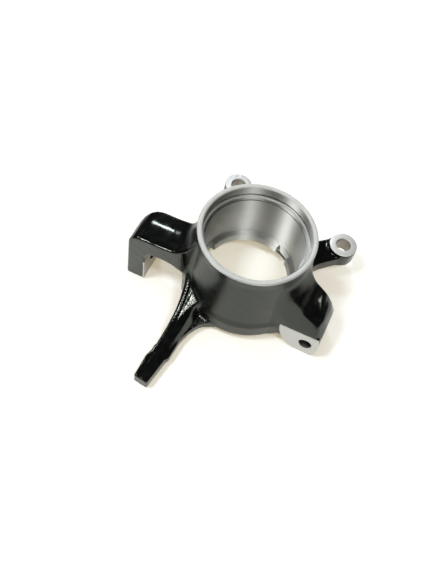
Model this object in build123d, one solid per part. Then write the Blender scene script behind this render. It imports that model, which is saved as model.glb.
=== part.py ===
"""Steering knuckle: one forging with a pressed-in wheel bearing seat.

The knuckle is a single solid.  Its frame has +Z up along the wheel bearing's
axis and its origin on that axis, at the shoulder that the bearing stops on.
+X runs along the machined lug face, so the hook leg is at -X, the lug at +X
and the long arm reaches out along -Y.  All sizes are in millimetres.
"""
from build123d import *
from math import cos, hypot, radians, sin
import os

# ---- bearing housing -------------------------------------------------------
bearing_r = 40.0          # seat for the bearing's outer ring
seat_length = 42.0        # shoulder to the top of the seat
lead_in = 1.3             # radial step of the lead-in cone above the seat
lead_in_height = 2.0
ledge_width = 1.5         # flat ledge between the lead-in and the mouth
mouth_length = 11.0       # wider mouth above the ledge, ring groove included
groove_depth = 1.2        # retaining ring groove, cut into the mouth's wall
groove_width = 1.6
rim_width = 4.2           # machined top face, mouth to outside
rim_chamfer = 0.8
lip_reach = 4.75          # how far the shoulder stands into the bore
lip_thickness = 8.4
lip_chamfer = 0.9
drain_spans = ((47.0, 68.0), (165.0, 186.0))   # notches through the lip, degrees
drain_ledge = 0.7         # what a notch leaves of the shoulder at the seat's wall
skirt_depth = 16.3        # shoulder to the housing's underside
recess_step = 1.5         # seal recess below the lip, wider than the seat
wall_draft = 4.5          # growth of the wall's radius from rim to flange
flange_step = 1.9         # flange outside the wall's foot
flange_height = 13.3
flange_slope = 5.0        # height of the cone between wall and flange

# ---- the plane that the knuckle lies on ---------------------------------------
stand_drop = 23.0         # shoulder to the feet

# ---- hook leg ----------------------------------------------------------------
front_y = -36.5           # the hook's front side and the lug's machined face
hook_depth = 33.5         # front side to back side
hook_reach = 93.3         # bearing axis to the leg's outer side
leg_thickness = 16.0
beam_top = 35.0
beam_thickness = 18.8
beam_root = 8.0           # rise of the beam's top where it meets the housing
pillar_inset = 9.5        # inner end of the arch, inside the wall's foot
hook_outer_r = 14.0       # outer corner between beam and leg
hook_inner_r = 9.0        # corners of the arch under the beam
hook_back_r = 19.0        # corner at the back of the leg, seen from above
hook_edge = 2.0           # rounding of the front edges
hook_back_edge = 4.5      # rounding of the back edges
link_hole_r = 6.0         # hole through the leg
link_hole_lift = 17.0     # hole's axis above the feet
link_hole_setback = 17.0  # hole's axis behind the front side

# ---- long arm -----------------------------------------------------------------
arm_tip_y = -122.5
arm_tip_x = -34.8         # middle of the tip
tip_width = 12.3
tip_height = 11.0
tang_length = 26.0        # full-height bar at the end of the arm
web_thickness = 7.0
web_lift = 3.0            # web's underside above the feet
web_edge_x = -23.4        # right side of the web along its straight part
web_root_x = -4.0         # where the web's edge runs into the flange
rib_root_x = -22.0        # right side of the rib at the housing
rib_root_top = 11.0       # rib's height at the housing
rib_mid_top = -1.0
rib_left_x = -37.8
rib_end_width = 8.0

# ---- lug ------------------------------------------------------------------------
pinch_inset = 10.6        # axis of the hole, inside the lug's outer side
pinch_z = -8.7
pinch_hole_r = 5.25
pad_r = 14.3              # round lower end of the machined pad
lug_outer_x = 78.6
lug_top = 4.5
lug_depth = 33.0
lug_root_inset = 7.5      # left end of the pad, inside the wall's foot
pad_slope_x = 6.84        # the pad's lower left corner, outside its left end
saddle_top = 46.0         # height of the gusset at the housing
saddle_brow = 22.0        # height of the gusset's crease
saddle_front = 12.0       # the crease behind the machined face

# ---- caliper ears ------------------------------------------------------------------
ear_places = ((63.5, 58.5), (-41.4, 72.8))
ear_face_z = 7.0
ear_thickness = 14.5
ear_r = 12.2
ear_hole_r = 6.3
ear_arm_drop = 2.6        # the arm's top below the machined face
ear_arm_half = 11.2       # half width of the arm at the boss
ear_root_half = 19.0      # half width of the arm at the housing
ear_edge = 1.2

# ---- sizes that follow -------------------------------------------------------------
mouth_r = bearing_r + lead_in + ledge_width
rim_r = mouth_r + rim_width
lip_r = bearing_r - lip_reach
ledge_z = seat_length + lead_in_height
rim_z = ledge_z + mouth_length
foot_r = rim_r + wall_draft
flange_r = foot_r + flange_step
flange_z = flange_height - skirt_depth
feet_z = -stand_drop
back_y = front_y + hook_depth
leg_inner_x = leg_thickness - hook_reach
beam_under = beam_top - beam_thickness
core_r = lip_r + 1.0      # arms start here, inside the housing's wall
drain_r = bearing_r - drain_ledge
pillar_x = pillar_inset - foot_r
lug_root_x = foot_r - lug_root_inset
pinch_x = lug_outer_x - pinch_inset

os.makedirs("parts", exist_ok=True)


def prism_y(points, y0, y1, corners=()):
    """An outline in X and Z from y0 to y1; corners are (point number, radius)."""
    wire = Polyline([(x, z) for x, z in points], close=True)
    face = make_face(wire)
    for number, radius in corners:
        x, z = points[number]
        spot = min(face.vertices(), key=lambda v: hypot(v.X - x, v.Y - z))
        face = fillet(spot, radius)
    slab = extrude(face, amount=y1 - y0)
    return Pos(0, y1, 0) * Rot(90, 0, 0) * slab


def prism_z(points, z0, z1, corners=()):
    """An outline in X and Y from z0 to z1; corners are (point number, radius)."""
    face = make_face(Polyline(list(points), close=True))
    for number, radius in corners:
        x, y = points[number]
        spot = min(face.vertices(), key=lambda v: hypot(v.X - x, v.Y - y))
        face = fillet(spot, radius)
    return Pos(0, 0, z0) * extrude(face, amount=z1 - z0)


def turned(points):
    """An outline of radii and heights, turned about the bearing axis."""
    face = make_face(Polyline([(r, 0, z) for r, z in points], close=True))
    return revolve(face, Axis.Z, 360)


def housing():
    """The drafted wall with its flange, still without the bore."""
    return turned([
        (0, -skirt_depth), (flange_r - 1.5, -skirt_depth), (flange_r, -skirt_depth + 1.5),
        (flange_r, flange_z), (foot_r, flange_z + flange_slope),
        (rim_r, rim_z - 8.0), (rim_r, rim_z - rim_chamfer),
        (rim_r - rim_chamfer, rim_z), (0, rim_z)])


def hook():
    """The beam from the housing and the leg that it stands on."""
    inner_x = -core_r * 0.6
    outline = [
        (inner_x, beam_top + beam_root + 7), (pillar_x + 4, beam_top + beam_root + 5),
        (pillar_x - 5, beam_top + beam_root / 2), (pillar_x - 17, beam_top),
        (-hook_reach + 1.0, beam_top), (-hook_reach, feet_z),
        (leg_inner_x, feet_z), (leg_inner_x, beam_under),
        (pillar_x, beam_under), (pillar_x, -skirt_depth), (inner_x, -skirt_depth)]
    body = prism_y(outline, front_y, back_y,
                   [(4, hook_outer_r), (7, hook_inner_r), (8, hook_inner_r), (3, 14.0), (2, 6.0)])
    for side, radius in ((0, hook_edge), (-1, hook_back_edge)):
        rim = body.faces().sort_by(Axis.Y)[side].edges()
        body = fillet(rim.filter_by(lambda e: e.center().Z > feet_z + 1), radius)
    plan = prism_z([
        (-hook_reach - 5, front_y), (pillar_x - 10, front_y), (pillar_x + 2, front_y + 5.5),
        (0, front_y + 22), (0, back_y), (-hook_reach, back_y), (-hook_reach, front_y + 5)],
        feet_z - 1, rim_z, [(1, 12.0), (5, hook_back_r)])
    return body & plan


def arm():
    """The long arm: a tang at its tip, a flat web and a rib on the left side."""
    left = arm_tip_x - tip_width / 2
    right = arm_tip_x + tip_width / 2
    tang_y = arm_tip_y + tang_length
    web_z = feet_z + web_lift
    tang = prism_z([
        (left, arm_tip_y + 0.6), (right, arm_tip_y - 1.0), (right + 1.0, tang_y), (rib_left_x, tang_y + 8),
        (rib_left_x, tang_y), (left + 0.5, tang_y - 7)],
        feet_z, feet_z + tip_height)
    web = prism_z([
        (rib_left_x, tang_y - 1), (right + 0.6, tang_y - 1), (web_edge_x, tang_y + 4),
        (web_edge_x, tang_y + 21), (web_edge_x + 9, front_y - 22),
        (web_root_x, front_y - 15), (web_root_x, front_y), (rib_left_x - 3, front_y)],
        web_z, web_z + web_thickness, [(2, 4.0), (3, 12.0), (4, 14.0)])
    rib_side = prism_z([
        (rib_left_x - 1.0, tang_y - 4), (rib_left_x - 1.0 + rib_end_width, tang_y - 4),
        (rib_root_x - 4, front_y - 25), (rib_root_x, front_y - 4), (rib_root_x + 10, front_y + 12),
        (pillar_x, front_y + 12), (pillar_x, front_y), (rib_left_x, front_y - 14)],
        web_z, rib_root_top + 10)
    tip_top = feet_z + tip_height
    rib_shape = make_face(Polyline([
        (front_y + 12, web_z), (front_y + 12, rib_root_top), (front_y - 1, rib_root_top),
        (front_y - 12, rib_mid_top + 3), (front_y - 24, rib_mid_top), (tang_y, tip_top + 1.5),
        (tang_y - 9, tip_top - 0.5), (tang_y - 9, web_z)], close=True))
    rib_top = Pos(pillar_x - 5, 0, 0) * (Plane.YZ * extrude(rib_shape, amount=60))
    return tang + web + (rib_side & rib_top)


def lug():
    """The pad with the pinch hole and the gusset that carries it."""
    back = front_y + lug_depth
    toe_x = pinch_x - pad_r * 0.6
    slope_x = lug_root_x + pad_slope_x
    toe_r = min(9.0, 1.2 * (toe_x - slope_x))
    pad = prism_y([
        (lug_root_x, lug_top - 1.5), (lug_outer_x - 1.5, lug_top), (lug_outer_x, lug_top - 8),
        (lug_outer_x, pinch_z - pad_r * 0.7), (lug_outer_x - 4, pinch_z - pad_r),
        (toe_x, pinch_z - pad_r), (slope_x, pinch_z - pad_r * 0.6),
        (lug_root_x + 2.5, pinch_z - 2), (lug_root_x, pinch_z + 5)],
        front_y, back, [(1, 2.0), (4, 3.0), (5, toe_r), (6, toe_r), (7, 5.0)])
    side = prism_y([
        (core_r, saddle_top + 6), (rim_r + 2, saddle_top), (pinch_x - 4, saddle_top * 0.53),
        (lug_outer_x, lug_top), (lug_outer_x, lug_top - 9), (core_r, -skirt_depth)],
        front_y, back, [(1, 9.0), (2, 30.0), (3, 3.0)])
    brow_y = front_y + saddle_front
    slope = make_face(Polyline([
        (front_y, -skirt_depth), (front_y, lug_top - 1), (front_y + saddle_front * 0.3, lug_top + 5),
        (brow_y, saddle_brow), (back - 4, saddle_top + 8), (back, saddle_top + 8), (back, -skirt_depth)], close=True))
    plan = prism_z([
        (core_r, back), (core_r, brow_y), (lug_root_x - 1, brow_y), (lug_root_x + 7, front_y),
        (lug_outer_x, front_y), (lug_outer_x, back)], -skirt_depth, rim_z, [(2, 8.0)])
    return pad + (side & (Plane.YZ * extrude(slope, amount=lug_outer_x + 1)) & plan)


def ear(place):
    """One caliper ear: a boss and the flat arm that holds it."""
    x, y = place
    reach = hypot(x, y)
    ux, uy = x / reach, y / reach

    def spot(along, across):
        return (ux * along - uy * across, uy * along + ux * across)

    boss = Pos(x, y, ear_face_z - ear_thickness) * Cylinder(
        ear_r, ear_thickness, align=(Align.CENTER, Align.CENTER, Align.MIN))
    boss = chamfer(boss.edges().filter_by(GeomType.CIRCLE).group_by(Axis.Z)[0], ear_edge)
    neck = (foot_r + reach - ear_r) / 2 + 3
    plate = prism_z([
        spot(core_r, -ear_root_half), spot(neck, -ear_arm_half), spot(reach, -ear_arm_half),
        spot(reach, ear_arm_half), spot(neck, ear_arm_half), spot(core_r, ear_root_half)],
        ear_face_z - ear_thickness, ear_face_z - ear_arm_drop, [(1, 14.0), (4, 14.0)])
    return boss + plate


def bore():
    """What the machining takes out of the housing, from the rim to the skirt."""
    mouth = turned([
        (0, ledge_z), (mouth_r, ledge_z), (mouth_r + groove_depth, ledge_z),
        (mouth_r + groove_depth, ledge_z + groove_width), (mouth_r, ledge_z + groove_width),
        (mouth_r, rim_z - rim_chamfer), (mouth_r + rim_chamfer, rim_z), (mouth_r + rim_chamfer, rim_z + 1),
        (0, rim_z + 1)])
    seat = turned([
        (0, 0), (bearing_r, 0), (bearing_r, seat_length), (bearing_r + lead_in, ledge_z), (0, ledge_z)])
    throat = turned([
        (0, -lip_thickness), (lip_r, -lip_thickness), (lip_r, -lip_chamfer), (lip_r + lip_chamfer, 0), (0, 0)])
    recess = turned([
        (0, -skirt_depth - 1), (bearing_r + recess_step, -skirt_depth - 1),
        (bearing_r + recess_step, -lip_thickness), (0, -lip_thickness)])
    return mouth + seat + throat + recess


def drain(start, end):
    """A notch through the lip, almost as wide as the seat, between two angles."""
    reach = bearing_r * 1.6
    steps = [start + (end - start) * k / 3 for k in range(4)]
    wedge = prism_z([(0, 0)] + [(reach * cos(radians(a)), reach * sin(radians(a))) for a in steps],
                    -lip_thickness, 0)
    return wedge & Cylinder(drain_r, 3 * lip_thickness)


knuckle = housing() + hook() + arm() + lug()
for place in ear_places:
    knuckle += ear(place)
knuckle -= bore()
for start, end in drain_spans:
    knuckle -= drain(start, end)

link_y = front_y + link_hole_setback
link_z = feet_z + link_hole_lift
knuckle -= Pos(leg_inner_x - leg_thickness / 2, link_y, link_z) * Rot(0, 90, 0) * Cylinder(link_hole_r, leg_thickness + 4)
knuckle -= Pos(pinch_x, front_y + lug_depth / 2, pinch_z) * Rot(90, 0, 0) * Cylinder(pinch_hole_r, lug_depth + 4)
for x, y in ear_places:
    knuckle -= Pos(x, y, ear_face_z - ear_thickness / 2) * Cylinder(ear_hole_r, ear_thickness + 4)

knuckle.label = "knuckle"
export_step(knuckle, "parts/knuckle.step")
print("solids", len(knuckle.solids()), "volume", knuckle.volume)
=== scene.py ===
"""Looks of the steering knuckle: painted forging, machined bore and faces, and a plain studio.

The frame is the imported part's: +Z along the bearing axis, the origin at the
bearing's shoulder, the long arm along -Y.  Shapes are worked out in
millimetres and put into meshes in metres.
"""

import bmesh
import bpy
import numpy as np
from mathutils import Matrix


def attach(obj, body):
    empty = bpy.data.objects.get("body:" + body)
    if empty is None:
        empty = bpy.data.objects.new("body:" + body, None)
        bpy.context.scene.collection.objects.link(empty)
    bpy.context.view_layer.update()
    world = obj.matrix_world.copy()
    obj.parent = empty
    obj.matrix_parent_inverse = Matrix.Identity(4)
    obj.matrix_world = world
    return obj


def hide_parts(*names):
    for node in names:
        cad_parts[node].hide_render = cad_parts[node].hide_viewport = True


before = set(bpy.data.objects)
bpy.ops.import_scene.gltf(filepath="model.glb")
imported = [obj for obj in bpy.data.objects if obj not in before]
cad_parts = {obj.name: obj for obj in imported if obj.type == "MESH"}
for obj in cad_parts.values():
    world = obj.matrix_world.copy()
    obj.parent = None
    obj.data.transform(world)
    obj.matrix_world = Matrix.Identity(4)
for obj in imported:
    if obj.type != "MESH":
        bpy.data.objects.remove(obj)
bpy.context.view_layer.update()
MM = 0.001

# ---------------------------------------------------------------- fields and outlines


def outline(u, v, points):
    """Signed distance to a closed outline: the least distance to its edges,
    negative where a ray to the right crosses the outline an odd number of times."""
    best = np.full(np.broadcast(u, v).shape, 1e9)
    within = np.zeros(best.shape, bool)
    for (au, av), (bu, bv) in zip(points, points[1:] + points[:1]):
        eu, ev = bu - au, bv - av
        share = np.clip(((u - au) * eu + (v - av) * ev) / (eu * eu + ev * ev), 0, 1)
        best = np.minimum(best, np.hypot(u - au - share * eu, v - av - share * ev))
        if ev:
            within ^= ((av > v) != (bv > v)) & (u < au + (v - av) * eu / ev)
    return np.where(within, -best, best)


def softened(points, radii):
    """An outline with its corners rounded: each corner becomes an arc that
    touches both sides, of the radius that the corner's number has in radii."""
    out = []
    count = len(points)
    for n, corner in enumerate(points):
        radius = radii.get(n, 0)
        p = np.array(corner, float)
        if not radius:
            out.append(tuple(p))
            continue
        a = np.array(points[n - 1], float) - p
        b = np.array(points[(n + 1) % count], float) - p
        a /= np.linalg.norm(a)
        b /= np.linalg.norm(b)
        half = np.arccos(np.clip(a @ b, -1, 1)) / 2
        middle = (a + b) / np.linalg.norm(a + b)
        centre = p + middle * radius / np.sin(half)
        start = p + a * radius / np.tan(half) - centre
        end = p + b * radius / np.tan(half) - centre
        for t in np.linspace(0, 1, 7):
            ray = (1 - t) * start + t * end
            out.append(tuple(centre + ray / np.linalg.norm(ray) * radius))
    return out


def joined(a, b, r):
    """Union of two fields with a concave fillet of radius r along the seam."""
    return np.maximum(np.minimum(a, b), r) - np.hypot(np.maximum(r - a, 0), np.maximum(r - b, 0))


def common(a, b, r):
    """Intersection of two fields with a rounded edge of radius r."""
    return np.minimum(np.maximum(a, b), -r) + np.hypot(np.maximum(a + r, 0), np.maximum(b + r, 0))


def along(value, stations, sizes):
    """A size that runs smoothly through the given stations: a cubic between
    each two, with the slope of the chord between its neighbours at each."""
    s, v = np.array(stations, float), np.array(sizes, float)
    slope = np.gradient(v, s)
    n = np.clip(np.searchsorted(s, value) - 1, 0, len(s) - 2)
    gap = s[n + 1] - s[n]
    t = np.clip((value - s[n]) / gap, 0, 1)
    return ((1 + 2 * t) * v[n] + t * gap * slope[n]) * (1 - t) ** 2 + \
        ((3 - 2 * t) * v[n + 1] - (1 - t) * gap * slope[n + 1]) * t ** 2


def height_field(x, y, z, height, reach):
    """Distance below a height: the fall to it over the slope's length, with
    the height evened out over a small square."""
    east, west = height(x + reach, y), height(x - reach, y)
    north, south = height(x, y + reach), height(x, y - reach)
    steepness = np.sqrt(1 + ((east - west) / (2 * reach)) ** 2 + ((north - south) / (2 * reach)) ** 2)
    return (z - (east + west + north + south) / 4) / steepness


# ---------------------------------------------------------------- sizes
# Heights are measured from the bearing's shoulder.
FLOOR_Z = -23.0
FOOT_R, FOOT_Z = 53.4, -16.3
WALL_R, WALL_TOP_Z = 46.95, 54.82

# Each hole has its place across its axis, the radius of its machined wall, and
# that of the wider cut in the painted skin, which the machined piece fills.
EARS = ((63.5, 58.5), (-41.4, 72.8))
EAR_HOLE_R, EAR_CUT_R = 6.3, 7.2
LUG_HOLE = (68.0, -8.7)
LUG_HOLE_R, LUG_CUT_R = 5.25, 6.2
LEG_HOLE = (-19.5, -6.0)
LEG_HOLE_R, LEG_CUT_R = 6.0, 7.0

# Outlines: the corners, then the radius of each rounded corner by its number.
# The housing's half section, as radii and heights.
WALL = softened(
    [(-1, FOOT_Z), (FOOT_R, FOOT_Z), (FOOT_R, -3.2), (51.7, 1.5),
     (WALL_R, 46.5), (WALL_R, 54.0), (46.1, WALL_TOP_Z), (-1, WALL_TOP_Z)],
    {1: 1.5, 2: 1.2, 3: 6.0, 4: 12.0})
# The hook from its front side, x and z: along the beam's top, down the leg,
# and back through the arch under the beam.
HOOK_SIDE = softened(
    [(-30, 54), (-36.5, 51.2), (-43.0, 43.6), (-52, 36.6), (-62, 35.2), (-92.2, 34.0),
     (-93.2, FLOOR_Z), (-77.4, FLOOR_Z), (-77.4, 17.0), (-42.6, 17.0), (-42.6, -15), (-30, -15)],
    {2: 6.0, 3: 14.0, 5: 12.0, 8: 9.0, 9: 16.0})
# The hook from above.
HOOK_PLAN = softened(
    [(-99, -36.5), (-46, -36.5), (-38.5, -30.5), (-20, -14), (-20, -3), (-93.3, -3), (-93.3, -36.5)],
    {1: 14.0, 5: 18.0})
# The arm from above: the bar at its tip, and its ridge and web.
TANG_PLAN = softened(
    [(-40.9, -121.8), (-29.0, -123.3), (-26.2, -104.0), (-25.0, -96.0),
     (-38.0, -93), (-38.3, -97.5), (-40.4, -103.5)],
    {0: 1.0, 1: 1.0, 2: 4.0, 5: 3.0, 6: 4.0})
ARM_PLAN = softened(
    [(-37.6, -98), (-28.2, -101), (-23.6, -96.6), (-23.2, -88), (-22.6, -78), (-19.6, -67),
     (-14.3, -57.2), (-3.8, -51.4), (8, -44), (-20, -30), (-44, -30), (-39.3, -40),
     (-36.9, -53), (-36.2, -62), (-36.3, -76), (-37.0, -88)],
    {1: 2.0, 2: 3.0, 4: 14.0, 5: 14.0, 6: 14.0, 7: 8.0, 11: 30.0, 12: 25.0, 13: 25.0, 14: 40.0, 15: 40.0})
# The lug's machined face, x and z, and its saddle from above.
PAD = softened(
    [(43.5, 3.6), (77.3, 4.6), (78.5, -5.0), (78.6, -19.0), (74.4, FLOOR_Z), (59.4, FLOOR_Z),
     (50.6, -17.2), (46.6, -10.7), (44, -3.7)],
    {1: 2.0, 4: 4.0, 5: 9.0, 6: 9.0, 7: 5.0})
SADDLE_PLAN = softened(
    [(34, -3), (34, -28), (38.5, -34.0), (46.0, -36.3), (78.6, -36.3), (78.6, -3)],
    {2: 5.0, 3: 4.0})

# ---------------------------------------------------------------- the forging
HOOK_MIDDLE_Y = -18
CROWN_FALL, CROWN_WIDTH = 0.5, 4.0
CROWN_FOOT_Z, CROWN_RISE = 24, 8


def hook_field(x, y, z):
    """Beam and leg: the side outline met with the plan outline.  The side
    outline falls away across Y as a hyperbola does, from nothing at the
    crown's foot to all of it above.  The edge's radius grows from the front
    side to the back."""
    bow = CROWN_FALL * (np.hypot(1, (y - HOOK_MIDDLE_Y) / CROWN_WIDTH) - 1)
    crown = bow * np.clip((z - CROWN_FOOT_Z) / CROWN_RISE, 0, 1)
    side = outline(x, z + crown, HOOK_SIDE)
    edge = along(y, [-36, -30, -14, -3], [1.2, 1.6, 2.4, 3.2])
    return common(side, outline(x, y, HOOK_PLAN), edge)


# Lines that run along the arm, as x and as height at each station of y.  In
# order: its left edge, twice, the crest, the groove, the lower crest, two on
# the right flank, the foot of the ridge, and one out on the web.
ARM_Y = [-124, -112, -100, -90, -80, -68, -60, -53, -46, -40, -30]
ARM_LINES = (
    ([-40.9, -39.9, -38.0, -37.0, -36.5, -36.2, -36.3, -36.9, -38.1, -39.3, -43.0],
     [-12.4, -11.7, -9.9, -8.0, -6.0, -3.2, -0.4, 2.6, 5.8, 8.8, 14.5]),
    ([-40.1, -39.1, -37.2, -36.2, -35.7, -35.4, -35.4, -35.9, -37.0, -38.2, -42.0],
     [-12.2, -11.4, -9.5, -7.5, -5.4, -2.5, 0.4, 3.5, 6.7, 9.6, 15.4]),
    ([-38.8, -37.6, -35.6, -34.6, -34.0, -33.2, -32.8, -33.1, -34.0, -35.2, -39.0],
     [-12.1, -11.2, -9.1, -6.9, -4.8, -1.9, 0.9, 4.1, 7.4, 10.3, 16.1]),
    ([-37.6, -36.4, -34.4, -33.6, -33.0, -32.4, -32.0, -32.1, -32.9, -34.0, -37.8],
     [-12.2, -11.5, -9.8, -7.9, -6.0, -3.6, -1.0, 1.7, 4.4, 7.0, 12.5]),
    ([-36.6, -35.4, -33.6, -32.8, -32.3, -31.7, -31.0, -30.3, -30.0, -30.6, -33.0],
     [-12.3, -11.6, -9.9, -8.0, -6.1, -3.6, -0.8, 2.0, 4.8, 7.2, 11.4]),
    ([-34.6, -33.4, -31.8, -31.0, -30.4, -29.7, -27.9, -24.9, -20.9, -17.5, -12.0],
     [-12.3, -11.7, -10.3, -8.6, -6.9, -4.4, -1.8, 0.3, 2.0, 3.6, 6.4]),
    ([-32.0, -30.8, -28.8, -28.2, -26.8, -25.4, -24.2, -23.2, -20.2, -16.8, -11.6],
     [-12.3, -11.9, -10.8, -9.6, -8.6, -7.0, -5.0, -2.0, 0.8, 2.8, 6.0]),
    ([-29.0, -27.4, -25.6, -24.8, -23.2, -21.0, -20.0, -19.6, -17.4, -13.0, -6.0],
     [-12.4, -12.4, -13.2, -13.3, -13.3, -13.2, -12.9, -12.3, -11.4, -10.0, -7.0]),
    ([-28.0, -26.0, -24.0, -22.0, -20.0, -15.0, -9.0, -5.0, -4.0, -2.0, 0.0],
     [-12.4, -12.4, -13.2, -13.3, -13.2, -12.7, -11.9, -11.0, -10.2, -9.0, -6.4]))
ARM_FOOT_Z = -20.3
ARM_EDGE_R = 0.9
DENT_PLACE, DENT_REACH, DENT_DEPTH = (-35, -114), (4, 6), 0.6


def arm_height(x, y):
    """Height of the arm's top: straight between its lines, level outside them."""
    last_x = last_z = height = None
    for xs, zs in ARM_LINES:
        at, z = along(y, ARM_Y, xs), along(y, ARM_Y, zs)
        if height is None:
            height = z
        else:
            height = height + (z - last_z) * np.clip((x - last_x) / (at - last_x), 0, 1)
        last_x, last_z = at, z
    return height


def arm_field(x, y, z):
    """Long arm: its lined top over the plans of its ridge and web and of the
    thicker bar at its tip.  The bar's top has a shallow dent, a bell curve both ways."""
    off_x = (x - DENT_PLACE[0]) / DENT_REACH[0]
    off_y = (y - DENT_PLACE[1]) / DENT_REACH[1]
    dent = DENT_DEPTH * np.exp(-(off_x ** 2 + off_y ** 2))
    top = height_field(x, y, z, arm_height, 0.5) + dent
    ridge = common(outline(x, y, ARM_PLAN), ARM_FOOT_Z - z, ARM_EDGE_R)
    tang = common(outline(x, y, TANG_PLAN), FLOOR_Z - z, ARM_EDGE_R)
    return common(joined(ridge, tang, 1.5), top, ARM_EDGE_R)


# The lug's saddle: the heights of its crease and of its rear edge at stations
# of x, and how much of the front slope is left at stations of y.
CREASE_X = [40, 46, 51.3, 57.5, 63.5, 70.1, 80]
CREASE_Z = [36, 35, 31.0, 24.8, 21.3, 18.3, 14.0]
REAR_X = [40, 46, 51.8, 57.5, 62.5, 67.6, 70, 80]
REAR_Z = [41, 40, 36.0, 29.9, 25.7, 21.4, 18.5, 10.0]
SLOPE_Y = [-36.4, -34.6, -32.6, -30.6, -28.6, -27.0]
SLOPE_SHARE = [1.0, 0.70, 0.40, 0.16, 0.05, 0.0]
SLOPE_FOOT_Z = 4.2
CREASE_Y, SADDLE_DEPTH = -27.0, 24.0
# The saddle's right side: its edge from above, the height at which it is
# measured, and the way that the side faces, as x and z.
SIDE_Y = [-36.4, -31, -26, -16, -8, -3]
SIDE_X = [68.5, 71.3, 73.2, 73.6, 73.2, 71.8]
SIDE_Z = 16.5
SIDE_FACES = (0.89, 0.456)
LUG_RIGHT_X = 78.5
BLOCK_FRONT_Y, BLOCK_BACK_Y = -36.15, -3.4
# The saddle's underside rises away from the housing, and the last number is
# the cosine of its slope.
UNDER_X, UNDER_Z, UNDER_RISE, UNDER_COSINE = 34, -14, 0.18, 0.98


def saddle_height(x, y):
    """Height of the lug's saddle: a front slope from the machined face up to a
    crease, and a broad top from the crease to the rear edge."""
    low = np.interp(y, SLOPE_Y, SLOPE_SHARE)
    back = np.clip((y - CREASE_Y) / SADDLE_DEPTH, 0, 1)
    crease = along(x, CREASE_X, CREASE_Z)
    rear = along(x, REAR_X, REAR_Z)
    return SLOPE_FOOT_Z * low + crease * (1 - low - back) + rear * back


def lug_field(x, y, z):
    """Pinch lug: the drilled block and the saddle that carries it."""
    block = common(outline(x, z, PAD), np.maximum(BLOCK_FRONT_Y - y, y - BLOCK_BACK_Y), 0.8)
    top = height_field(x, y, z, saddle_height, 0.6)
    side = (x - along(y, SIDE_Y, SIDE_X)) * SIDE_FACES[0] + (z - SIDE_Z) * SIDE_FACES[1]
    plan = np.maximum(outline(x, y, SADDLE_PLAN), x - LUG_RIGHT_X)
    saddle = common(common(top, side, 1.6), plan, 1.2)
    under = (UNDER_Z - z + (x - UNDER_X) * UNDER_RISE) * UNDER_COSINE
    return np.minimum(block, np.maximum(saddle, under))


EAR_BOSS_R, EAR_BOSS_Z = 12.0, (-7.4, 6.8)
EAR_ARM_FOOT_Z, EAR_ARM_START = -7.3, 36


def ear_field(x, y, z, place):
    """Caliper ear: a round boss on a flat arm that widens towards the housing.
    The arm's half width and the height of its top run through stations of
    distance from the bearing's axis."""
    reach = np.hypot(*place)
    ux, uy = place[0] / reach, place[1] / reach
    out = x * ux + y * uy
    across = y * ux - x * uy
    half = along(out, [36, 50, 60, 68, 90], [20.0, 14.6, 11.6, 11.0, 11.0])
    top = along(out, [48, 58, 68, 80], [6.0, 4.6, 4.4, 4.4])
    arm = common(np.abs(across) - half, np.maximum(z - top, EAR_ARM_FOOT_Z - z), 1.8)
    arm = np.maximum(arm, np.maximum(EAR_ARM_START - out, out - reach))
    flats = np.maximum(z - EAR_BOSS_Z[1], EAR_BOSS_Z[0] - z)
    boss = common(np.hypot(x - place[0], y - place[1]) - EAR_BOSS_R, flats, 1.2)
    return joined(boss, arm, 2.5)


# Fillets between the housing and what grows out of it.
HOOK_FILLET, ARM_FILLET, LUG_FILLET, EAR_FILLET = 5.0, 2.5, 6.5, 4.0
# The hook ends below the housing's rim.
HOOK_TOP_Z = 49.5
# The cut for the bore: narrow below its ledge and wide above.
BORE_CUT_Z, BORE_CUT_R = [43.0, 43.4], [41.4, 44.4]
# Where the cuts for the holes of leg and lug end, past the piece that they go through.
LEG_CUT_END_X = -60
LUG_CUT_END_Y = 0


def forging(x, y, z):
    """The whole forging as one field: its forms joined with fillets, then the
    room for the machined bore and the holes taken out."""
    r = np.hypot(x, y)
    body = outline(r, z, WALL)
    body = joined(body, common(hook_field(x, y, z), z - HOOK_TOP_Z, 4.0), HOOK_FILLET)
    body = joined(body, arm_field(x, y, z), ARM_FILLET)
    body = joined(body, lug_field(x, y, z), LUG_FILLET)
    for place in EARS:
        body = joined(body, ear_field(x, y, z, place), EAR_FILLET)
    body = np.maximum(body, FLOOR_Z - z)
    body = np.maximum(body, along(z, BORE_CUT_Z, BORE_CUT_R) - r)
    for place in EARS:
        body = np.maximum(body, EAR_CUT_R - np.hypot(x - place[0], y - place[1]))
    leg_cut = LEG_CUT_R - np.hypot(y - LEG_HOLE[0], z - LEG_HOLE[1])
    body = np.maximum(body, np.minimum(leg_cut, LEG_CUT_END_X - x))
    lug_cut = LUG_CUT_R - np.hypot(x - LUG_HOLE[0], z - LUG_HOLE[1])
    return np.maximum(body, np.minimum(lug_cut, LUG_CUT_END_Y - y))


GRAIN_HEIGHT = 0.02


def grain(x, y, z):
    """Slow unevenness of the forged skin, as a sum of sine waves in three directions."""
    waves = np.sin(0.55 * x + 0.31 * y) * np.sin(0.48 * y - 0.22 * z) + np.sin(0.61 * z + 0.37 * x)
    return GRAIN_HEIGHT * waves


# ---------------------------------------------------------------- meshes
# How a vertex finds the surface: how often it slides, how far off the slope is
# measured, and the least square of the slope that a slide goes by.
SLIDES, PROBE, LEAST_STEEPNESS = 3, 0.03, 0.15


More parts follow.
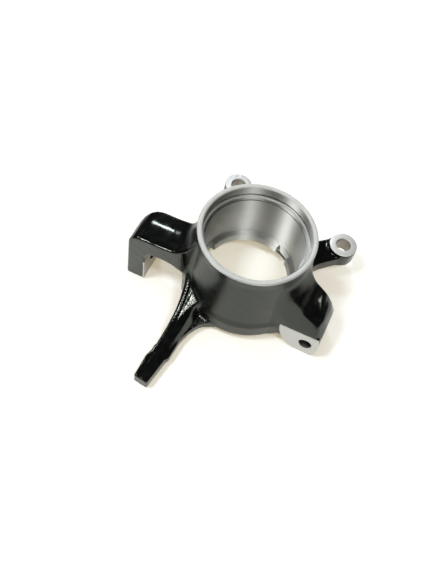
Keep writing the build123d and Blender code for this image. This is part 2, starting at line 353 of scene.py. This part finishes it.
def skin(field, low, high, step):
    """Closed surface where the field is zero: each grid cell that the surface
    crosses gets one vertex at the mean of its edge crossings, each crossed grid
    edge joins its four cells, and the vertices then slide down the field's slope."""
    axes = [np.arange(low[n], high[n] + step, step) for n in range(3)]
    across, up = axes[1][None, :, None], axes[2][None, None, :]
    slabs = [axes[0][s:s + 16, None, None] for s in range(0, len(axes[0]), 16)]
    value = np.concatenate([field(slab, across, up) for slab in slabs])
    inside = value < 0
    shape = np.array(value.shape) - 1
    total = np.zeros(tuple(shape) + (3,))
    count = np.zeros(tuple(shape))

    def corner(n):
        """The field at one corner of every cell."""
        return value[tuple(slice(n[k], n[k] + shape[k]) for k in range(3))]

    for axis in range(3):
        others = [k for k in range(3) if k != axis]
        for a in (0, 1):
            for b in (0, 1):
                start = [0, 0, 0]
                start[others[0]], start[others[1]] = a, b
                end = list(start)
                end[axis] = 1
                v0, v1 = corner(start), corner(end)
                crossed = (v0 < 0) != (v1 < 0)
                share = np.where(crossed, v0 / np.where(crossed, v0 - v1, 1), 0)
                for k in range(3):
                    total[..., k] += crossed * (start[k] + (share if k == axis else 0))
                count += crossed
    used = count > 0
    number = np.full(tuple(shape), -1)
    number[used] = np.arange(used.sum())
    place = np.argwhere(used) + total[used] / count[used][:, None]
    points = np.array(low) + place * step
    faces = []
    for axis in range(3):
        o1, o2 = [(1, 2), (2, 0), (0, 1)][axis]
        first = np.take(inside, range(0, inside.shape[axis] - 1), axis)
        second = np.take(inside, range(1, inside.shape[axis]), axis)
        cells = np.argwhere(first != second)
        c1, c2 = cells[:, o1], cells[:, o2]
        cells = cells[(c1 > 0) & (c2 > 0) & (c1 < shape[o1]) & (c2 < shape[o2])]
        leaving = first[tuple(cells.T)]
        corners = []
        for d1, d2 in ((1, 1), (0, 1), (0, 0), (1, 0)):
            c = cells.copy()
            c[:, o1] -= d1
            c[:, o2] -= d2
            corners.append(number[tuple(c.T)])
        quads = np.stack(corners, 1)
        quads[~leaving] = quads[~leaving][:, ::-1]
        faces.append(quads)
    for _ in range(SLIDES):
        x, y, z = points.T
        here = field(x, y, z)
        probes = (field(x + PROBE, y, z), field(x, y + PROBE, z), field(x, y, z + PROBE))
        slope = np.stack([probe - here for probe in probes], 1) / PROBE
        steepness = np.maximum((slope ** 2).sum(1), LEAST_STEEPNESS)
        move = -(here / steepness)[:, None] * slope
        length = np.maximum(np.linalg.norm(move, axis=1, keepdims=True), 1e-9)
        points = points + move * np.minimum(1, 0.5 * step / length)
    return points, np.concatenate(faces)


def put(name, points, faces, smooth=True):
    """A mesh object from points in millimetres and faces, at the origin."""
    mesh = bpy.data.meshes.new(name)
    mesh.from_pydata((np.asarray(points) * MM).tolist(), [], np.asarray(faces).tolist())
    mesh.update()
    mesh.polygons.foreach_set("use_smooth", [smooth] * len(mesh.polygons))
    piece = bpy.data.objects.new(name, mesh)
    bpy.context.scene.collection.objects.link(piece)
    return piece


def outward(piece):
    """Turns a closed piece's faces outwards."""
    work = bmesh.new()
    work.from_mesh(piece.data)
    bmesh.ops.recalc_face_normals(work, faces=work.faces)
    work.to_mesh(piece.data)
    work.free()
    return piece


def band(m, n):
    """Faces of a surface that closes both ways: m rings of n points, each ring
    joined to the next and the last to the first."""
    i, j = np.meshgrid(np.arange(m), np.arange(n), indexing="ij")
    ii, jj = (i + 1) % m, (j + 1) % n
    return np.stack([i * n + j, ii * n + j, ii * n + jj, i * n + jj], -1).reshape(-1, 4)


def sharp_edges(piece, degrees=25):
    """Marks edges sharper than an angle, so that flats shade flat."""
    work = bmesh.new()
    work.from_mesh(piece.data)
    limit = float(np.radians(degrees))
    for edge in work.edges:
        edge.smooth = edge.calc_face_angle(0) < limit
    work.to_mesh(piece.data)
    work.free()
    return piece


def turned(name, profile, angles, place=(0, 0), narrow=None):
    """A closed profile of radii and heights turned about a vertical axis;
    narrow may change the radii from angle to angle."""
    angles = np.asarray(angles)[:, None]
    radius = np.array([p[0] for p in profile])[None, :] + np.zeros(angles.shape)
    height = np.array([p[1] for p in profile])[None, :] + np.zeros(angles.shape)
    if narrow is not None:
        radius = narrow(radius, height, angles)
    turn = np.radians(angles)
    x, y = place[0] + radius * np.cos(turn), place[1] + radius * np.sin(turn)
    points = np.stack([x, y, height], -1).reshape(-1, 3)
    return sharp_edges(outward(put(name, points, band(len(angles), len(profile)))))


def plate(name, edge, hole, hole_r, stations, place, count=160):
    """A flat machined pad with a round hole: rays from the hole's centre meet
    the outline; stations list how far in from the outline or the hole's wall,
    and how deep, each ring of the closed surface lies.  place puts a ring's
    two sizes and its depth into the frame."""
    turn = np.linspace(0, 2 * np.pi, count, endpoint=False)
    du, dv = np.cos(turn), np.sin(turn)
    reach = np.full(count, 1e9)
    for (au, av), (bu, bv) in zip(edge, edge[1:] + edge[:1]):
        eu, ev = bu - au, bv - av
        bottom = du * ev - dv * eu
        bottom = np.where(np.abs(bottom) < 1e-9, 1e-9, bottom)
        t = ((au - hole[0]) * ev - (av - hole[1]) * eu) / bottom
        s = ((au - hole[0]) * dv - (av - hole[1]) * du) / bottom
        met = (t > 0) & (s >= -1e-9) & (s <= 1 + 1e-9)
        reach = np.where(met, np.minimum(reach, t), reach)
    rings = []
    for where, inset, depth in stations:
        r = reach - inset if where == "edge" else np.full(count, hole_r + inset)
        rings.append(place(hole[0] + r * du, hole[1] + r * dv, depth))
    points = np.concatenate(rings)
    return sharp_edges(outward(put(name, points, band(len(rings), count))))


def face_places(piece):
    """The middle of each of a piece's faces, in millimetres."""
    middle = np.empty(len(piece.data.polygons) * 3)
    piece.data.polygons.foreach_get("center", middle)
    return middle.reshape(-1, 3) / MM


def near_hole(piece, centre, across, radius):
    """1 for each face within a radius of a hole's axis, otherwise 0; across
    names the two axes across the hole."""
    apart = face_places(piece)[:, across] - np.array(centre)
    return (np.hypot(*apart.T) < radius).astype(int)


def finish(piece, steels, choice):
    """Gives a piece its steels, and each face the one that choice numbers."""
    for made in steels:
        piece.data.materials.append(made)
    piece.data.polygons.foreach_set("material_index", choice)


# ---------------------------------------------------------------- materials
BUMP_STRENGTH, BUMP_DEPTH = 0.25, 0.1 * MM


def node(tree, kind, inputs=None, **settings):
    """A new shader node: settings are its own properties, and inputs gives an
    input, by name or number, a plain value or the output that feeds it."""
    made = tree.nodes.new("ShaderNode" + kind)
    for name, value in settings.items():
        setattr(made, name, value)
    for key, value in (inputs or {}).items():
        if isinstance(value, bpy.types.NodeSocket):
            tree.links.new(value, made.inputs[key])
        else:
            made.inputs[key].default_value = value
    return made


def worked(tree, operation, a, b):
    """Result of one Math node on two values."""
    return node(tree, "Math", {0: a, 1: b}, operation=operation).outputs[0]


def ranged(tree, value, sizes):
    """A value mapped from one range to another; sizes names the ends that
    differ from 0 and 1."""
    return node(tree, "MapRange", {"Value": value, **sizes}).outputs["Result"]


def object_place(tree):
    """Each point's place on its piece, which is its place in the frame."""
    return node(tree, "TexCoord").outputs["Object"]


def from_axis(tree, place):
    """Distance of a place from the vertical axis: the length of its level part."""
    level = node(tree, "VectorMath", {0: place, 1: (1, 1, 0)}, operation="MULTIPLY")
    return node(tree, "VectorMath", {0: level.outputs[0]}, operation="LENGTH").outputs["Value"]


def noise(tree, place, scale, detail=2.0):
    """Cloudy noise over the places."""
    return node(tree, "TexNoise", {"Vector": place, "Scale": scale, "Detail": detail}).outputs["Fac"]


def group(name, inputs, outputs):
    """An empty node group: inputs lists each input's name, kind and usual
    value, and outputs names its values.  Returns it with the inner ends of both."""
    tree = bpy.data.node_groups.new(name, "ShaderNodeTree")
    for label, kind, value in inputs:
        made = tree.interface.new_socket(label, in_out="INPUT", socket_type="NodeSocket" + kind)
        made.default_value = value
    for label in outputs:
        tree.interface.new_socket(label, in_out="OUTPUT", socket_type="NodeSocketFloat")
    return tree, tree.nodes.new("NodeGroupInput").outputs, tree.nodes.new("NodeGroupOutput").inputs


def forged_surface():
    """Forged skin under paint.  Height is a mix of broad orange peel and fine
    grit, plus a coarse grain as strong as Coarse says; Thin is 1 where the
    peel stands high and the paint lies thin."""
    inputs = (("Peel size", "Float", 160.0), ("Grit size", "Float", 900.0),
              ("Grit share", "Float", 0.35), ("Coarse", "Float", 0.0))
    tree, given, result = group("forged_surface", inputs, ("Height", "Thin"))
    place = object_place(tree)
    peel = noise(tree, place, given["Peel size"])
    grit = noise(tree, place, given["Grit size"], 3.0)
    grains = noise(tree, place, 950.0, 1.0)
    fine = node(tree, "Mix", {0: given["Grit share"], 2: peel, 3: grit}).outputs[0]
    coarse = worked(tree, "MULTIPLY", grains, given["Coarse"])
    tree.links.new(worked(tree, "ADD", fine, coarse), result["Height"])
    thin = ranged(tree, peel, {"From Min": 0.35, "From Max": 0.7})
    tree.links.new(thin, result["Thin"])
    return tree


def tool_marks():
    """Marks of a cutting tool: Marks is fine noise along one distance, and
    Cloud is slow noise over the surface.  The distance is the place from
    Centre along Direction, plus Rings times the place's distance from the
    vertical axis through Centre."""
    inputs = (("Centre", "Vector", (0, 0, 0)), ("Direction", "Vector", (0, 0, 1)), ("Rings", "Float", 1.0))
    tree, given, result = group("tool_marks", inputs, ("Marks", "Cloud"))
    place = object_place(tree)
    shifted = node(tree, "VectorMath", {0: place, 1: given["Centre"]}, operation="SUBTRACT").outputs[0]
    forward = node(tree, "VectorMath", {0: shifted, 1: given["Direction"]}, operation="DOT_PRODUCT")
    rings = worked(tree, "MULTIPLY", from_axis(tree, shifted), given["Rings"])
    distance = worked(tree, "ADD", rings, forward.outputs["Value"])
    marks = node(tree, "TexNoise", {"W": distance, "Scale": 3200.0, "Detail": 3.0}, noise_dimensions="1D")
    tree.links.new(marks.outputs["Fac"], result["Marks"])
    tree.links.new(noise(tree, place, 45.0), result["Cloud"])
    return tree


def material(name):
    """A node material with a Principled shader at its output."""
    made = bpy.data.materials.new(name)
    made.use_nodes = True
    tree = made.node_tree
    tree.nodes.clear()
    shader = node(tree, "BsdfPrincipled")
    node(tree, "OutputMaterial", {"Surface": shader.outputs[0]})
    return made, tree, shader.inputs


def relief(tree, height):
    """Normals of a surface with a fine height on it."""
    sizes = {"Strength": BUMP_STRENGTH, "Distance": BUMP_DEPTH, "Height": height}
    return node(tree, "Bump", sizes).outputs["Normal"]


# Patches of the forging's skin: place, inner and outer reach, and how strongly
# the grain stands out there, or how much duller the paint is.
COARSE = (((-29, -54, 0), 13, 20, 4.2),
          ((-12, -55, -12), 8, 14, 9.0),
          ((-71, -18, 35), 14, 22, 0.9),
          ((-34, -116, -12), 5, 9, 1.6))
DULL = ((-10, -55, -12), 8.0, 12.0, 0.10)
# The housing's wall is duller than the forms around it, within this distance
# of the axis; the second number is where that fades out.
DULL_WALL_R, WALL_END_R, WALL_DULLER = 53.5, 55.5, 0.19


def patch(tree, place, middle, near, far, amount):
    """A value that is amount within the near distance of the patch's middle
    and fades to nothing at the far distance."""
    away = node(tree, "VectorMath", {0: place, 1: [c * MM for c in middle]}, operation="DISTANCE")
    return ranged(tree, away.outputs["Value"],
                  {"From Min": far * MM, "From Max": near * MM, "To Max": amount})


def black_paint():
    """Glossy black paint over the forged skin, duller on the housing's wall
    and on one patch of the arm's web."""
    made, tree, shader = material("black_paint")
    place = object_place(tree)
    coarse = patch(tree, place, *COARSE[0])
    for spot in COARSE[1:]:
        coarse = worked(tree, "MAXIMUM", coarse, patch(tree, place, *spot))
    surface = node(tree, "Group", {"Coarse": coarse}, node_tree=forged_surface()).outputs
    black, worn = (0.0025, 0.003, 0.0028, 1), (0.005, 0.0055, 0.005, 1)
    tone = node(tree, "Mix", {0: surface["Thin"], 6: black, 7: worn}, data_type="RGBA")
    tree.links.new(tone.outputs[2], shader["Base Color"])
    gloss = ranged(tree, surface["Thin"], {"To Min": 0.09, "To Max": 0.15})
    wall = ranged(tree, from_axis(tree, place),
                  {"From Min": WALL_END_R * MM, "From Max": DULL_WALL_R * MM, "To Max": WALL_DULLER})
    rough = worked(tree, "ADD", gloss, wall)
    tree.links.new(worked(tree, "ADD", rough, patch(tree, place, *DULL)), shader["Roughness"])
    tree.links.new(relief(tree, surface["Height"]), shader["Normal"])
    shader["IOR"].default_value = 1.6
    shader["Specular Tint"].default_value = (0.93, 1.0, 0.88, 1)
    return made


# Ways that tool marks run: as rings about the vertical axis, or straight
# across the X or the Y axis.
RINGS = ((0, 0, 1), 1.0)
ACROSS_X = ((1, 0, 0), 0.0)
ACROSS_Y = ((0, 1, 0), 0.0)
CUT_MARKS = tool_marks()


def steel(name, marks, roughness, colour, centre=(0, 0, 0), anisotropic=0.0, metallic=1.0):
    """Bare machined steel with tool marks; centre is where rings have their
    axis, in millimetres."""
    made, tree, shader = material(name)
    sizes = {"Centre": [c * MM for c in centre], "Direction": marks[0], "Rings": marks[1]}
    surface = node(tree, "Group", sizes, node_tree=CUT_MARKS).outputs
    dark = tuple(c * 0.9 for c in colour) + (1,)
    light = tuple(min(1, c * 1.06) for c in colour) + (1,)
    tone = node(tree, "Mix", {0: surface["Cloud"], 6: dark, 7: light}, data_type="RGBA")
    tree.links.new(tone.outputs[2], shader["Base Color"])
    rough = ranged(tree, surface["Marks"], {"To Min": roughness * 0.85, "To Max": roughness * 1.15})
    tree.links.new(rough, shader["Roughness"])
    tree.links.new(relief(tree, surface["Marks"]), shader["Normal"])
    shader["Metallic"].default_value = metallic
    shader["Anisotropic"].default_value = anisotropic
    if anisotropic:
        tangent = node(tree, "Tangent", direction_type="RADIAL", axis="Z")
        tree.links.new(tangent.outputs["Tangent"], shader["Tangent"])
        shader["Anisotropic Rotation"].default_value = 0.25
    return made


# ---------------------------------------------------------------- the painted forging
SKIN_LOW, SKIN_HIGH = (-95.5, -125.5, -25.0), (81.0, 88.0, 57.0)
SKIN_STEP = 1.0


def rough_forging(x, y, z):
    """The forging with its skin's slow unevenness."""
    return forging(x, y, z) + grain(x, y, z)


points, faces = skin(rough_forging, SKIN_LOW, SKIN_HIGH, SKIN_STEP)
body = put("forged_body", points, faces)
body.data.materials.append(black_paint())

# ---------------------------------------------------------------- the machined bore
SEAT_R, LIP_R, MOUTH_R, RECESS_R = 40.0, 35.25, 42.8, 41.5
RIM_Z, LIP_FOOT_Z, BORE_FOOT_Z = 55.0, -8.4, -16.38
# Half section: radii and heights, down the inside and back up within the wall.
BORE = [
    # rim, with the inner bevel
    (47.03, 53.4), (47.03, 54.2), (46.85, 54.42), (46.3, 54.95), (46.2, RIM_Z),
    (43.6, RIM_Z), (43.45, 54.95), (42.85, 54.35), (MOUTH_R, 54.2),
    # groove of the retaining ring
    (MOUTH_R, 47.0), (43.9, 46.9), (43.9, 45.9), (MOUTH_R, 45.8),
    # ledge, lead-in and the small groove below it
    (MOUTH_R, 44.3), (42.6, 44.1), (41.3, 44.0), (40.15, 42.6), (40.6, 42.4), (40.6, 41.8), (SEAT_R, 41.6),
    # foot of the bearing seat, shoulder and lip
    (SEAT_R, 0.0), (36.15, 0.0), (36.0, -0.05), (35.3, -0.8), (LIP_R, -0.9), (LIP_R, -8.2),
    # recess and foot
    (35.5, LIP_FOOT_Z), (RECESS_R, LIP_FOOT_Z), (RECESS_R, -16.0), (41.8, BORE_FOOT_Z),
    (43.6, BORE_FOOT_Z), (43.9, -16.2), (44.0, -15.0),
    # back, inside the wall
    (43.0, -14.0), (43.0, 42.0), (45.7, 44.0), (45.7, 52.0), (46.6, 53.2)]
# Level faces above or below these heights are as bright as the rim, and the
# grooves, as radii and heights, take the dark steel: painted shade in the grooves.
BRIGHT_ABOVE_Z, BRIGHT_BELOW_Z = 43.5, -9
GROOVE_PAINTED_SHADE = (((42.85, 45.0), (45.85, 46.95)), ((40.2, 41.0), (41.7, 42.5)))
# The lip's notches, from angle to angle in degrees: the radius of their walls,
# the greatest radius that belongs to the lip, and how far beside each end the
# two close angles lie.
NOTCHES = ((47.0, 68.0), (165.0, 186.0))
NOTCH_R, LIP_OUTER_R = 39.3, 36.3
NOTCH_WALL, NOTCH_MARGIN = 0.15, 0.6


def bore_angles():
    """Even angles round the bore, with close ones at the notches' walls."""
    angles = set(np.round(np.linspace(0, 360, 240, endpoint=False), 3))
    for start, end in NOTCHES:
        angles |= {start - NOTCH_MARGIN, start - NOTCH_WALL, start, start + NOTCH_WALL,
                   end - NOTCH_WALL, end, end + NOTCH_WALL, end + NOTCH_MARGIN}
    return sorted(angles)


def notched(radius, height, angle):
    """The lip's radii grow to the notch's wall between each notch's angles."""
    cut = np.zeros_like(angle, bool)
    for start, end in NOTCHES:
        cut |= (angle > start - 0.01) & (angle < end + 0.01)
    lip = (radius < LIP_OUTER_R) & (height > LIP_FOOT_Z - 0.2)
    return np.where(cut & lip, NOTCH_R, radius)


def bore_choice(piece):
    """Number of each face's steel: 1 on the level faces of rim, ledge and foot,
    2 in the two grooves, the dark steel of painted shade, otherwise 0."""
    up = np.empty(len(piece.data.polygons) * 3)
    piece.data.polygons.foreach_get("normal", up)
    x, y, high = face_places(piece).T
    out = np.hypot(x, y)
    level = np.abs(up[2::3]) > 0.5
    choice = (level & ((high > BRIGHT_ABOVE_Z) | (high < BRIGHT_BELOW_Z))).astype(int)
    for (inner, outer), (low, top) in GROOVE_PAINTED_SHADE:
        choice[(out > inner) & (out < outer) & (high > low) & (high < top)] = 2
    return choice


bore_steel = steel("bore_steel", RINGS, 0.56, (0.76, 0.77, 0.74), anisotropic=1.0)
rim_steel = steel("rim_steel", RINGS, 0.5, (0.74, 0.74, 0.70), metallic=0.6)
# A dark steel for the walls of the holes and for the bore's grooves: painted shade in them.
hole_painted_shade_steel = steel("hole_painted_shade_steel", ACROSS_X, 0.3, (0.36, 0.34, 0.32))
bore = turned("machined_bore", BORE, bore_angles(), narrow=notched)
finish(bore, [bore_steel, rim_steel, hole_painted_shade_steel], bore_choice(bore))

# ---------------------------------------------------------------- the ears' faces
EAR_FACE_Z = 7.0
# Half section: up the hole's wall, out over the top face, and back within the
# ear to the ring around the hole's foot.
EAR = [(EAR_HOLE_R, -7.2), (EAR_HOLE_R, 6.6), (6.7, EAR_FACE_Z),
       (11.3, EAR_FACE_Z), (11.7, 6.85), (11.8, 6.6), (11.6, 6.0), (10.8, 5.6), (9.0, 5.0),
       (8.2, 4.0), (8.2, -6.0), (9.4, -7.0), (9.4, -7.45), (6.7, -7.5)]
# The two ears' faces get two tones of one steel: painted light and shade, the first ear lighter and the
# second darker.
EAR_PAINTED_LIGHT_TONES = ((0.95, 0.95, 0.91), (0.78, 0.78, 0.75))
ears = []
for k, place in enumerate(EARS):
    painted_light_ear_face = steel("ear_painted_light_steel_%d" % k, RINGS, 0.45, EAR_PAINTED_LIGHT_TONES[k], (*place, 0), metallic=0.6)
    piece = turned("ear_face_%d" % k, EAR, np.linspace(0, 360, 96, endpoint=False), place)
    # The hole's wall takes the dark steel of painted shade.
    finish(piece, [painted_light_ear_face, hole_painted_shade_steel], near_hole(piece, place, [0, 1], EAR_HOLE_R + 0.15))
    ears.append(piece)

# ---------------------------------------------------------------- the lug's face
LUG_FACE_Y = -36.5
LUG_HOLE_DEPTH = 32.8
# Rings of the pad: from its outline or its hole, how far in and how deep.
LUG_RINGS = [
    ("edge", 0.35, 1.6), ("edge", 0.1, 0.6), ("edge", 0.15, 0.25), ("edge", 0.5, 0.0),
    ("hole", 0.45, 0.0), ("hole", 0.05, 0.4), ("hole", 0.0, 0.6), ("hole", 0.0, LUG_HOLE_DEPTH),
    ("hole", 1.6, LUG_HOLE_DEPTH), ("hole", 1.6, 4.0), ("hole", 2.6, 2.6), ("edge", 2.0, 2.4)]


def on_lug(u, v, depth):
    """The lug's face looks along -Y: u is x and v is z."""
    return np.stack([u, LUG_FACE_Y + depth + 0 * u, v], 1)


pad_steel = steel("pad_steel", ACROSS_X, 0.5, (0.66, 0.66, 0.62), metallic=0.6)
pad = plate("lug_pad", PAD, LUG_HOLE, LUG_HOLE_R, LUG_RINGS, on_lug)
# The hole's wall takes the dark steel of painted shade.
finish(pad, [pad_steel, hole_painted_shade_steel], near_hole(pad, LUG_HOLE, [0, 2], LUG_HOLE_R + 0.25))

# ---------------------------------------------------------------- the leg's face
LEG = [(-36.6, -22.9), (-36.6, 2.0), (-9.0, 2.0), (-9.0, -22.9)]
LEG_FACE_X = -77.35
LEG_HOLE_DEPTH = 15.4
LEG_PAINTED_GLINT_Y = -36.0
LEG_RINGS = [
    ("edge", 0.3, 1.4), ("edge", 0.0, 0.5), ("edge", 0.1, 0.1), ("edge", 0.4, 0.0),
    ("hole", 0.5, 0.0), ("hole", 0.0, 0.5), ("hole", 0.0, LEG_HOLE_DEPTH),
    ("hole", 1.6, LEG_HOLE_DEPTH), ("hole", 1.6, 3.0), ("edge", 2.0, 2.4)]


def on_leg(u, v, depth):
    """The leg's face looks along +X: u is y and v is z."""
    return np.stack([LEG_FACE_X - depth + 0 * u, u, v], 1)


# The leg's face is a darker steel than the lug's pad: painted shade where it faces the hub under the arch.
leg_painted_shade_steel = steel("leg_painted_shade_steel", ACROSS_Y, 0.45, (0.42, 0.40, 0.38))
leg = plate("leg_face", LEG, LEG_HOLE, LEG_HOLE_R, LEG_RINGS, on_leg)
# The hole's wall takes the dark steel of painted shade.
leg_choice = near_hole(leg, LEG_HOLE, [1, 2], LEG_HOLE_R + 0.3)
# The leg face's front rim takes the pad's brighter steel: a painted highlight along that edge.
leg_choice[face_places(leg)[:, 1] < LEG_PAINTED_GLINT_Y] = 2
finish(leg, [leg_painted_shade_steel, hole_painted_shade_steel, pad_steel], leg_choice)

for piece in [body, bore, pad, leg] + ears:
    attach(piece, "root")
    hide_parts("knuckle")

# ---------------------------------------------------------------- the studio
# Half the table's side, and how strongly it is lifted.
TABLE_HALF = 1500
TABLE_LIFT = 0.38


def white_table():
    """White table top: keeps the part's shadow, and is lifted to white where
    the camera and glossy rays see it."""
    made, tree, shader = material("white_table")
    shader["Base Color"].default_value = (0.85, 0.91, 0.98, 1)
    shader["Roughness"].default_value = 0.9
    shader["Specular IOR Level"].default_value = 0.0
    rays = node(tree, "LightPath").outputs
    seen = worked(tree, "MAXIMUM", rays["Is Camera Ray"], rays["Is Glossy Ray"])
    tree.links.new(worked(tree, "MULTIPLY", seen, TABLE_LIFT), shader["Emission Strength"])
    shader["Emission Color"].default_value = (1, 0.83, 0.50, 1)
    return made


corners = [(-TABLE_HALF, -TABLE_HALF), (TABLE_HALF, -TABLE_HALF),
           (TABLE_HALF, TABLE_HALF), (-TABLE_HALF, TABLE_HALF)]
table = put("table", [(x, y, FLOOR_Z) for x, y in corners], [(0, 1, 2, 3)], False)
table.data.materials.append(white_table())


def studio_world():
    """Surroundings: white to the camera, even and dim to lit surfaces, and to
    glossy ones a dim sky that darkens from the horizon up."""
    world = bpy.data.worlds.new("studio")
    world.use_nodes = True
    tree = world.node_tree
    tree.nodes.clear()
    way = node(tree, "TexCoord").outputs["Generated"]
    up = node(tree, "SeparateXYZ", {0: way}).outputs["Z"]
    sky = ranged(tree, up, {"From Max": 0.15, "To Min": 0.3, "To Max": 0.03})
    glossy = node(tree, "Background", {"Strength": sky}).outputs[0]
    plain = node(tree, "Background", {"Strength": 0.4}).outputs[0]
    white = node(tree, "Background", {"Strength": 1.0}).outputs[0]
    rays = node(tree, "LightPath").outputs
    unseen = node(tree, "MixShader", {0: rays["Is Glossy Ray"], 1: plain, 2: glossy}).outputs[0]
    whole = node(tree, "MixShader", {0: rays["Is Camera Ray"], 1: unseen, 2: white}).outputs[0]
    node(tree, "OutputWorld", {"Surface": whole})
    return world


def facing(place, target, square_to, roll=0.0):
    """Matrix of an object at place that looks at target along its -Z: its X
    axis is square to that way and to square_to, then turned by roll degrees."""
    away = np.array(place, float) - np.array(target, float)
    away /= np.linalg.norm(away)
    side = np.cross(square_to, away)
    side /= np.linalg.norm(side)
    up = np.cross(away, side)
    turn = np.radians(roll)
    matrix = np.eye(4)
    matrix[:3, 0] = np.cos(turn) * side + np.sin(turn) * up
    matrix[:3, 1] = np.cos(turn) * up - np.sin(turn) * side
    matrix[:3, 2] = away
    matrix[:3, 3] = np.array(place) * MM
    return Matrix(matrix.tolist())


def lamp(name, place, target, size, power, colour=(1, 1, 1)):
    """A rectangular lamp at place, facing target, both in millimetres."""
    data = bpy.data.lights.new(name, "AREA")
    data.shape = "RECTANGLE"
    data.size, data.size_y = size[0] * MM, size[1] * MM
    data.energy = power
    data.color = colour
    made = bpy.data.objects.new(name, data)
    bpy.context.scene.collection.objects.link(made)
    made.matrix_world = facing(place, target, (0, 1, 0))


bpy.context.scene.world = studio_world()
lamp("key", (530, -480, 1550), (0, 0, 0), (280, 240), 6.5)
lamp("fill", (-680, -476, 1482), (0, 0, 0), (300, 340), 11)
lamp("left", (-1260, 190, 1120), (-36, -80, -5), (100, 420), 1.7)
lamp("window", (-535, 830, 1315), (-71, -18, 35), (300, 130), 4.0, (0.88, 0.94, 1.0))
lamp("rear", (-330, 1150, 700), (-50, 0, 20), (160, 160), 1.2)
lamp("glint", (1322, 546, 617), (65, -15, 20), (60, 40), 0.12)

# ---------------------------------------------------------------- the camera
CAMERA_PLACE = (55.053, -312.223, 488.467)
CAMERA_TARGET = (-18.144, -27.381, 0.0)
CAMERA_ROLL = 12.292

camera = bpy.data.objects.new("camera", bpy.data.cameras.new("camera"))
bpy.context.scene.collection.objects.link(camera)
camera.data.lens = 44.13
camera.data.sensor_width = 36.0
camera.data.clip_start = 0.01
camera.matrix_world = facing(CAMERA_PLACE, CAMERA_TARGET, (0, 0, 1), CAMERA_ROLL)
bpy.context.scene.camera = camera
bpy.context.scene.view_settings.view_transform = "Standard"
